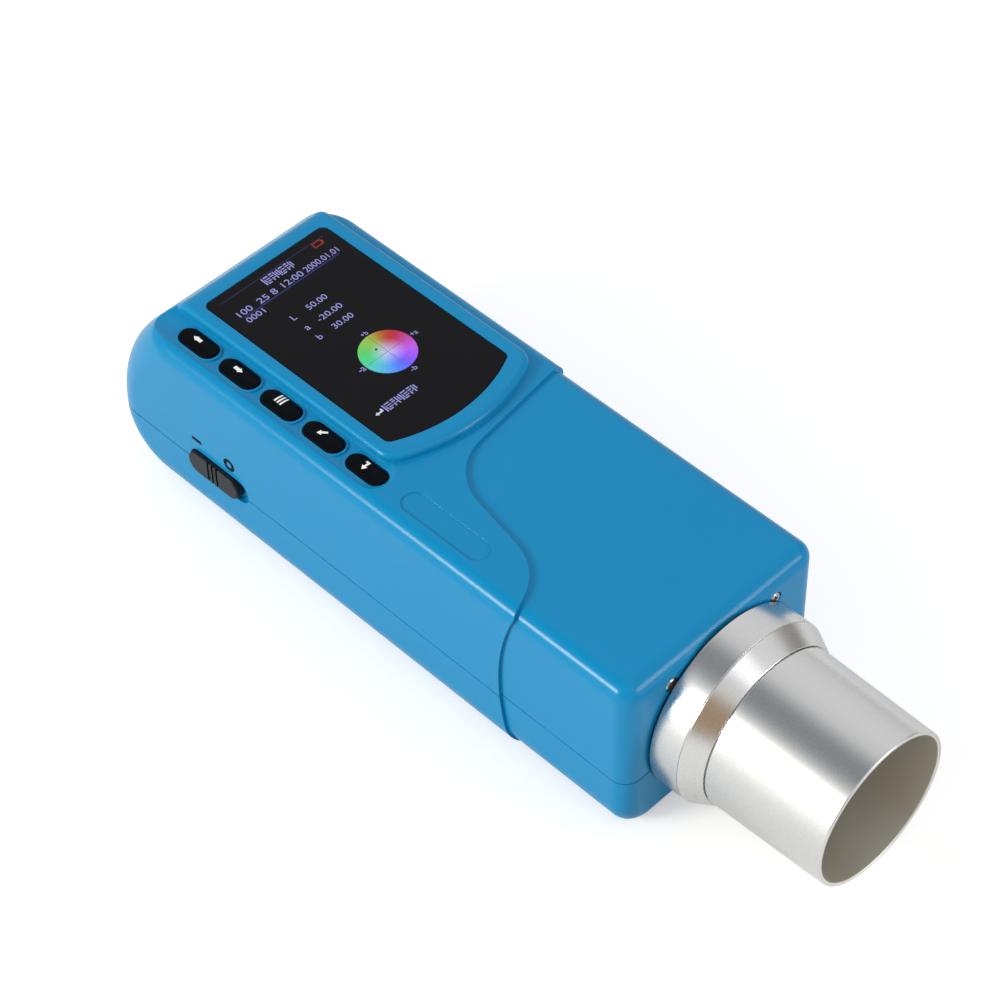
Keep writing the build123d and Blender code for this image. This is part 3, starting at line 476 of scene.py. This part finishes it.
def arrow(tip, towards, size):
    # a triangle whose back edge is divided in three, with its middle third drawn out as the shaft
    clearSelection()
    bpy.ops.mesh.primitive_circle_add(vertices=3, radius=1, fill_type="NGON", location=(0, 0, 0))
    sign = bpy.context.object
    headWide, headLong = size["headHalf"] * mm, size["head"] * mm
    reach = headLong / 1.5  # a triangle drawn in a circle of 1 is 1.5 long
    sign.scale = (headWide / math.cos(math.radians(30)), reach, 1)
    placeInMesh(sign)
    back = min(point.co.y for point in sign.data.vertices)
    editWhere(sign, "EDGE", lambda middle: abs(middle.y - back) < near)
    bpy.ops.mesh.subdivide(number_cuts=2)
    editDone()
    editWhere(sign, "VERT", lambda at: abs(at.y - back) < near and abs(at.x) < headWide / 2)
    bpy.ops.transform.resize(value=(3 * size["shaftHalf"] / size["headHalf"], 1, 1))
    editDone()
    editWhere(sign, "EDGE", lambda middle: abs(middle.y - back) < near and abs(middle.x) < near)
    bpy.ops.mesh.extrude_region_move(TRANSFORM_OT_translate={"value": (0, -size["shaft"] * mm, 0)})
    editDone()
    if "stub" in size:
        tail = back - size["shaft"] * mm
        editWhere(sign, "EDGE", lambda middle: abs(middle.y - tail) < near)
        side = size["shaftHalf"] * mm
        bpy.ops.mesh.extrude_region_move(TRANSFORM_OT_translate={"value": (0, -2 * side, 0)})
        editDone()
        editWhere(sign, "EDGE", lambda middle: middle.y < tail - near and abs(middle.x - side) < near)
        bpy.ops.mesh.extrude_region_move(TRANSFORM_OT_translate={"value": (size["stub"] * mm, 0, 0)})
        editDone()
    heading = Vector((towards[0], towards[1])).normalized()
    sign.rotation_euler = (0, 0, math.atan2(-heading.x, heading.y))
    sign.location = (tip[0] * mm - heading.x * reach, tip[1] * mm - heading.y * reach, drawnAt)
    placeInMesh(sign)
    return sign


def displayFigures():
    # lengths in mm: tops and bottoms run along the instrument, lefts and rights across it;
    # the title and the foot are plain bars
    page = {"statusRow": (-71.3, -68.9), "countRow": (-67.6, -65.4),
            "status": (("12:00", 1.5, 9.3), ("2000.01.01", 10.3, 23.3)), "count": ("0001", -15.4, -8.9),
            "settings": (("100", -15.7, -10.6), ("25", -8.0, -4.2), ("8", -2.7, -0.9)),
            "values": (("L", "50.00", -59.1, 0.2, 7.6), ("a", "-20.00", -53.3, -0.9, 8.2),
                       ("b", "30.00", -48.0, 0.2, 7.7)),
            "valueTall": 2.2, "labelLeft": -5.8, "labelWide": 1.4, "shortDrop": 0.55,
            "ticks": (("+b", -39.3, 3.4), ("+a", -29.3, 13.6), ("-a", -29.2, -6.8), ("-b", -19.2, 3.8)),
            "tickTall": 1.7, "tickWide": 2.2,
            "title": (-76.6, -73.3, -1.4, 9.9), "foot": (-14.2, -11.2, -11.8, 0.4),
            "colour": (0.33, 0.325, 0.74)}
    lines = [figures(words, *page["statusRow"], *sides) for words, *sides in page["status"]]
    lines.append(figures(page["count"][0], *page["countRow"], *page["count"][1:]))
    for words, *sides in page["settings"]:
        lines.append(figures(words, *page["statusRow"], *sides))
    labelRight = page["labelLeft"] + page["labelWide"]
    for label, words, top, left, right in page["values"]:
        bottom = top + page["valueTall"]
        lines.append(figures(words, top, bottom, left, right))
        labelTop = top + page["shortDrop"] if label == "a" else top
        lines.append(figures(label, labelTop, bottom, page["labelLeft"], labelRight))
    for words, top, left in page["ticks"]:
        lines.append(figures(words, top, top + page["tickTall"], left, left + page["tickWide"]))
    lines += menuLine(*page["title"]) + menuLine(*page["foot"])
    show(joined(lines), "displayFigures", litPixels("litViolet", page["colour"]))


def displayRules():
    # a dim line above the title and a brighter one under the status row
    rule = {"upper": (-77.35, -77.05, -16.2, 24.1), "lower": (-68.35, -67.95, -15.0, 22.3),
            "upperColour": (0.02, 0.02, 0.09), "lowerColour": (0.03, 0.025, 0.2)}
    show(bar(*rule["upper"]), "displayUpperRule", litPixels("dimRule", rule["upperColour"]))
    show(bar(*rule["lower"]), "displayLowerRule", litPixels("violetRule", rule["lowerColour"]))


def displayBattery():
    # a low battery sign: a thin red frame with its small tip
    sign = {"top": -76.9, "bottom": -74.7, "left": 18.9, "right": 22.3, "line": 0.38,
            "tip": (0.02, 0.45), "tipHalf": 0.5, "colour": (0.33, 0.025, 0.015)}
    centre = (sign["top"] + sign["bottom"]) / 2
    case = flatPlate((centre * mm, (sign["left"] + sign["right"]) / 2 * mm, windowTop),
                     (sign["bottom"] - sign["top"], sign["right"] - sign["left"]))
    hollowOut(case, sign["line"])
    drawUp(case, (0, 0, figureDepth))
    tip = bar(centre - sign["tipHalf"], centre + sign["tipHalf"],
              sign["right"] + sign["tip"][0], sign["right"] + sign["tip"][1])
    show(joined([case, tip]), "displayBattery", litPixels("litRed", sign["colour"]))


def hueLight(disc):
    # hue runs round the disc and pales to white at its middle
    material, tree, shader = underGlass("hueLight")
    coord = tree.nodes.new("ShaderNodeTexCoord")
    centred = tree.nodes.new("ShaderNodeMapping")
    centred.inputs["Location"].default_value = (-disc["x"] * mm, -disc["y"] * mm, 0)
    place = tree.nodes.new("ShaderNodeSeparateXYZ")
    tree.links.new(coord.outputs["Object"], centred.inputs["Vector"])
    tree.links.new(centred.outputs["Vector"], place.inputs["Vector"])
    upward = mathOn(tree, "MULTIPLY", place.outputs["X"], -1.0)
    turn = mathOn(tree, "ARCTAN2", upward, place.outputs["Y"])
    share = spread(tree, turn, 0, 1, -math.pi, math.pi)
    hues = tree.nodes.new("ShaderNodeValToRGB")
    hues.color_ramp.interpolation = "B_SPLINE"
    stops = hues.color_ramp.elements
    while len(stops) < len(disc["hues"]):
        stops.new(0.5)
    for stop, (degrees, colour) in zip(stops, disc["hues"]):
        stop.position = (degrees + 180) / 360
        stop.color = (*colour, 1)
    tree.links.new(share, hues.inputs["Fac"])
    across = mathOn(tree, "POWER", place.outputs["X"], 2)
    along = mathOn(tree, "POWER", place.outputs["Y"], 2)
    radius = mathOn(tree, "SQRT", mathOn(tree, "ADD", across, along))
    pale = spread(tree, radius, 1, 0, 0, disc["paleReach"] * mm)
    soft = mathOn(tree, "POWER", pale, disc["paleFall"])
    grain = spread(tree, noiseOn(tree, disc["grain"], 2), *disc["level"])
    tree.links.new(tint(tree, soft, hues.outputs["Color"], disc["middle"]), shader.inputs["Emission Color"])
    tree.links.new(grain, shader.inputs["Emission Strength"])
    return material


def displayHueDisc():
    disc = {"x": -28.45, "y": 4.4, "radius": 8.65, "sides": 96, "middle": (0.55, 0.55, 0.92),
            "paleReach": 5.6, "paleFall": 1.3, "grain": 1200, "level": (0.94, 1.04),
            "line": 0.16, "lineReach": 0.94, "lineColour": (0.16, 0.16, 0.24), "dot": (-31.4, 2.6, 0.42),
            "dotSides": 20, "dotColour": (0.02, 0.06, 0.06), "overDisc": 1.6 * figureDepth,
            "hues": ((-180, (0.07, 0.68, 0.36)), (-135, (0.11, 0.42, 0.95)), (-90, (0.045, 0.075, 0.95)),
                     (-45, (0.46, 0.11, 0.97)), (-12, (0.55, 0.09, 0.6)), (20, (0.5, 0.02, 0.05)),
                     (50, (0.45, 0.02, 0.01)), (72, (0.42, 0.2, 0.03)), (92, (0.36, 0.52, 0.06)),
                     (135, (0.08, 0.6, 0.1)), (180, (0.07, 0.68, 0.36)))}
    x, y, depth = disc["x"], disc["y"], disc["overDisc"]
    wheel = flatDisc((x * mm, y * mm, windowTop), disc["radius"], disc["sides"])
    drawUp(wheel, (0, 0, figureDepth))
    show(wheel, "displayHueDisc", hueLight(disc))
    reach, half = disc["radius"] * disc["lineReach"], disc["line"] / 2
    lines = [bar(x - reach, x + reach, y - half, y + half, depth),
             bar(x - half, x + half, y - reach, y - half, depth),
             bar(x - half, x + half, y + half, y + reach, depth)]
    show(joined(lines), "displayHueAxes", litPixels("axisGrey", disc["lineColour"]))
    dotX, dotY, dotRadius = disc["dot"]
    dot = flatDisc((dotX * mm, dotY * mm, windowTop), dotRadius, disc["dotSides"])
    drawUp(dot, (0, 0, depth))
    show(dot, "displayHuePoint", litPixels("pointDark", disc["dotColour"]))


def displayEnter():
    # the small bent arrow before the bottom line
    sign = {"tip": (-12.6, -15.3), "colour": (0.66, 0.7, 0.95),
            "size": {"head": 1.0, "headHalf": 0.75, "shaft": 1.3, "shaftHalf": 0.28, "stub": 0.7}}
    small = arrow(sign["tip"], (0, -1), sign["size"])
    pick(small)
    small.location.z = windowTop - min(point.co.z for point in small.data.vertices)
    placeInMesh(small)
    drawUp(small, (0, 0, figureDepth))
    show(small, "displayEnter", litPixels("litWhite", sign["colour"]))


displayFigures()
displayRules()
displayBattery()
displayHueDisc()
displayEnter()
print("display drawn")


# signs on the keys and beside the switch
whiteInk = grained("whiteInk", (0.8, 0.81, 0.83), (0.9, 0.91, 0.92), (0.5, 0.65))


def printOnKey(sign, key):
    # cut into narrow strips, dropped onto the crown of its key and given its film thickness
    ink = {"strip": 0.3 * mm, "lift": 0.012 * mm, "film": 0.03 * mm}
    low = min(point.co.y for point in sign.data.vertices)
    high = max(point.co.y for point in sign.data.vertices)
    strips = max(2, round((high - low) / ink["strip"]))
    for i in range(1, strips):
        editAll(sign)
        at = low + (high - low) * i / strips + near
        bpy.ops.mesh.bisect(plane_co=(0, at, 0), plane_no=(0, 1, 0))
        editDone()
    drop = sign.modifiers.new("drop", "SHRINKWRAP")
    drop.target = frame["nodes"][key]
    drop.wrap_method = "PROJECT"
    drop.use_project_z = True
    drop.use_negative_direction = True
    drop.use_positive_direction = False
    drop.wrap_mode = "ABOVE_SURFACE"
    drop.offset = ink["lift"]
    film = sign.modifiers.new("film", "SOLIDIFY")
    film.thickness = ink["film"]
    film.offset = 1
    applyAll(sign)
    editAll(sign)
    bpy.ops.mesh.normals_make_consistent(inside=False)
    editDone()
    hand(sign, key.replace("key_", "") + "Sign", whiteInk, key + "_body")


def menuSign():
    # three short bars
    sign = {"rows": (-39.5, -38.35, -37.2), "line": 0.58, "left": -29.6, "right": -26.2}
    middle = (sign["left"] + sign["right"]) / 2 * mm
    sides = (sign["line"], sign["right"] - sign["left"])
    return joined([flatPlate((row * mm, middle, drawnAt), sides) for row in sign["rows"]])


broad = {"head": 1.5, "headHalf": 1.0, "shaft": 1.85, "shaftHalf": 0.6}
slim = {"head": 1.35, "headHalf": 0.95, "shaft": 1.9, "shaftHalf": 0.42}
bent = {"head": 1.3, "headHalf": 0.95, "shaft": 1.35, "shaftHalf": 0.36, "stub": 0.75}
printOnKey(arrow((-75.3, -28.5), (-1, 0), broad), "key_up")
printOnKey(arrow((-54.2, -28.5), (1, 0), broad), "key_down")
printOnKey(menuSign(), "key_menu")
printOnKey(arrow((-21.8, -29.6), (-0.72, -0.69), slim), "key_back")
printOnKey(arrow((-2.7, -30.3), (0, -1), bent), "key_enter")


def switchMarks():
    # a bar and a ring beside the two ends of the switch's travel
    marks = {"bar": (-69.2, -65.0), "height": 31.95, "line": 1.3, "ringAt": -52.8, "ring": 2.35,
             "ringSides": 48, "corner": 0.2, "film": 0.03}
    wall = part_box("upper_shell")[0].y
    upright = (math.radians(90), 0, 0)
    dash = flatPlate((sum(marks["bar"]) / 2 * mm, wall, marks["height"] * mm),
                     (marks["bar"][1] - marks["bar"][0], marks["line"]), upright)
    editAll(dash)
    bpy.ops.mesh.bevel(offset=marks["corner"] * mm, segments=2, affect="VERTICES")
    editDone()
    drawUp(dash, (0, -marks["film"] * mm, 0))
    ring = flatDisc((marks["ringAt"] * mm, wall, marks["height"] * mm), marks["ring"],
                    marks["ringSides"], upright)
    hollowOut(ring, marks["line"])
    drawUp(ring, (0, -marks["film"] * mm, 0))
    blackInk = grained("blackInk", (0.003, 0.005, 0.009), (0.006, 0.009, 0.014), (0.5, 0.65), shine=0.08)
    hand(joined([dash, ring]), "switchMarks", blackInk, "housing")


switchMarks()
print("signs printed")


# floor, light and camera
def airLevel(tree, direction, patch, below):
    # lays one soft patch of another tone over the studio's air, round a direction
    facing = tree.nodes.new("ShaderNodeVectorMath")
    facing.operation = "DOT_PRODUCT"
    facing.inputs[1].default_value = Vector(patch["towards"]).normalized()
    tree.links.new(direction, facing.inputs[0])
    limits = [math.cos(math.radians(angle)) for angle in patch["reach"]]
    return tint(tree, spread(tree, facing.outputs["Value"], 0, 1, *limits), below, patch["tone"])


def layFloor():
    stand = {"size": 9.0, "shade": 0.8, "rough": 0.9, "shine": 0.1, "whiteLift": 0.4, "mirrorLift": 0.08}
    clearSelection()
    bpy.ops.mesh.primitive_plane_add(size=stand["size"])
    floor = bpy.context.object
    floor.name = "floor"
    material, tree, shader = nodesOf("paleFloor")
    shader.inputs["Base Color"].default_value = (stand["shade"],) * 3 + (1,)
    shader.inputs["Roughness"].default_value = stand["rough"]
    shader.inputs["Specular IOR Level"].default_value = stand["shine"]
    paths = tree.nodes.new("ShaderNodeLightPath")
    mirrored = mathOn(tree, "MAXIMUM", paths.outputs["Is Glossy Ray"], paths.outputs["Is Transmission Ray"])
    mirrored = mathOn(tree, "MULTIPLY", mirrored, stand["mirrorLift"])
    seen = mathOn(tree, "MULTIPLY", paths.outputs["Is Camera Ray"], stand["whiteLift"])
    shader.inputs["Emission Color"].default_value = (1, 1, 1, 1)
    tree.links.new(mathOn(tree, "MAXIMUM", seen, mirrored), shader.inputs["Emission Strength"])
    wear(floor, material)


def hangLamps():
    lamps = {"key": {"at": (-0.58, -1.52, 0.712), "size": (0.62, 0.46), "power": 22.5, "tone": (1, 1, 0.9)},
             "front": {"at": (1.62, 0.79, 0.8), "size": (0.58, 0.75), "power": 9.4, "tone": (1, 1, 1)},
             "overhead": {"at": (0.72, 0.1, 1.1), "size": (0.5, 0.3), "power": 0.5, "tone": (1, 1, 1)}}
    target = Vector((0.06, 0, 0.04))
    for name, lampSet in lamps.items():
        bpy.ops.object.light_add(type="AREA", location=lampSet["at"])
        lamp = bpy.context.object
        lamp.name = name + "Light"
        lamp.data.shape = "RECTANGLE"
        lamp.data.size, lamp.data.size_y = lampSet["size"]
        lamp.data.energy = lampSet["power"]
        lamp.data.color = lampSet["tone"]
        aim = target - lamp.location
        lamp.rotation_euler = aim.to_track_quat("-Z", "Y").to_euler()


def fillAir():
    # grey bands from below to above, with three darker patches
    air = {"bands": ((0.0, 0.6), (0.3, 0.78), (0.7, 0.82), (1.0, 0.7)),
           "patches": ({"towards": (0.5, -0.74, 0.4), "reach": (27, 15), "tone": (0.37, 0.23, 0.115)},
                       {"towards": (0.16, 0.95, 0.2), "reach": (24, 10), "tone": (0.28, 0.25, 0.23)},
                       {"towards": (-0.36, -0.22, 0.91), "reach": (30, 10), "tone": (0.2, 0.225, 0.25)})}
    world = bpy.data.worlds.new("studioAir")
    bpy.context.scene.world = world
    world.use_nodes = True
    tree = world.node_tree
    sky = tree.nodes["Background"]
    sky.inputs["Strength"].default_value = 1.0
    coord = tree.nodes.new("ShaderNodeTexCoord")
    split = tree.nodes.new("ShaderNodeSeparateXYZ")
    tree.links.new(coord.outputs["Generated"], split.inputs["Vector"])
    bands = tree.nodes.new("ShaderNodeValToRGB")
    bands.color_ramp.interpolation = "EASE"
    stops = bands.color_ramp.elements
    while len(stops) < len(air["bands"]):
        stops.new(0.5)
    for stop, (place, level) in zip(stops, air["bands"]):
        stop.position = place
        stop.color = (level, level, level, 1)
    tree.links.new(split.outputs["Z"], bands.inputs["Fac"])
    tone = bands.outputs["Color"]
    for patch in air["patches"]:
        tone = airLevel(tree, coord.outputs["Generated"], patch, tone)
    tree.links.new(tone, sky.inputs["Color"])


def viewfinder():
    shot = {"at": (0.42616, -0.38761, 0.67212), "turn": (41.7184, 1.0787, 45.0785),
            "lens": 107.491, "sensor": 36, "farthest": 30}
    bpy.ops.object.camera_add(location=shot["at"], rotation=[math.radians(a) for a in shot["turn"]])
    camera = bpy.context.object
    camera.name = "bench"
    camera.data.lens = shot["lens"]
    camera.data.sensor_width = shot["sensor"]
    camera.data.clip_end = shot["farthest"]
    bpy.context.scene.camera = camera
    bpy.context.scene.view_settings.view_transform = "Standard"


layFloor()
hangLamps()
fillAir()
viewfinder()
print("studio ready")
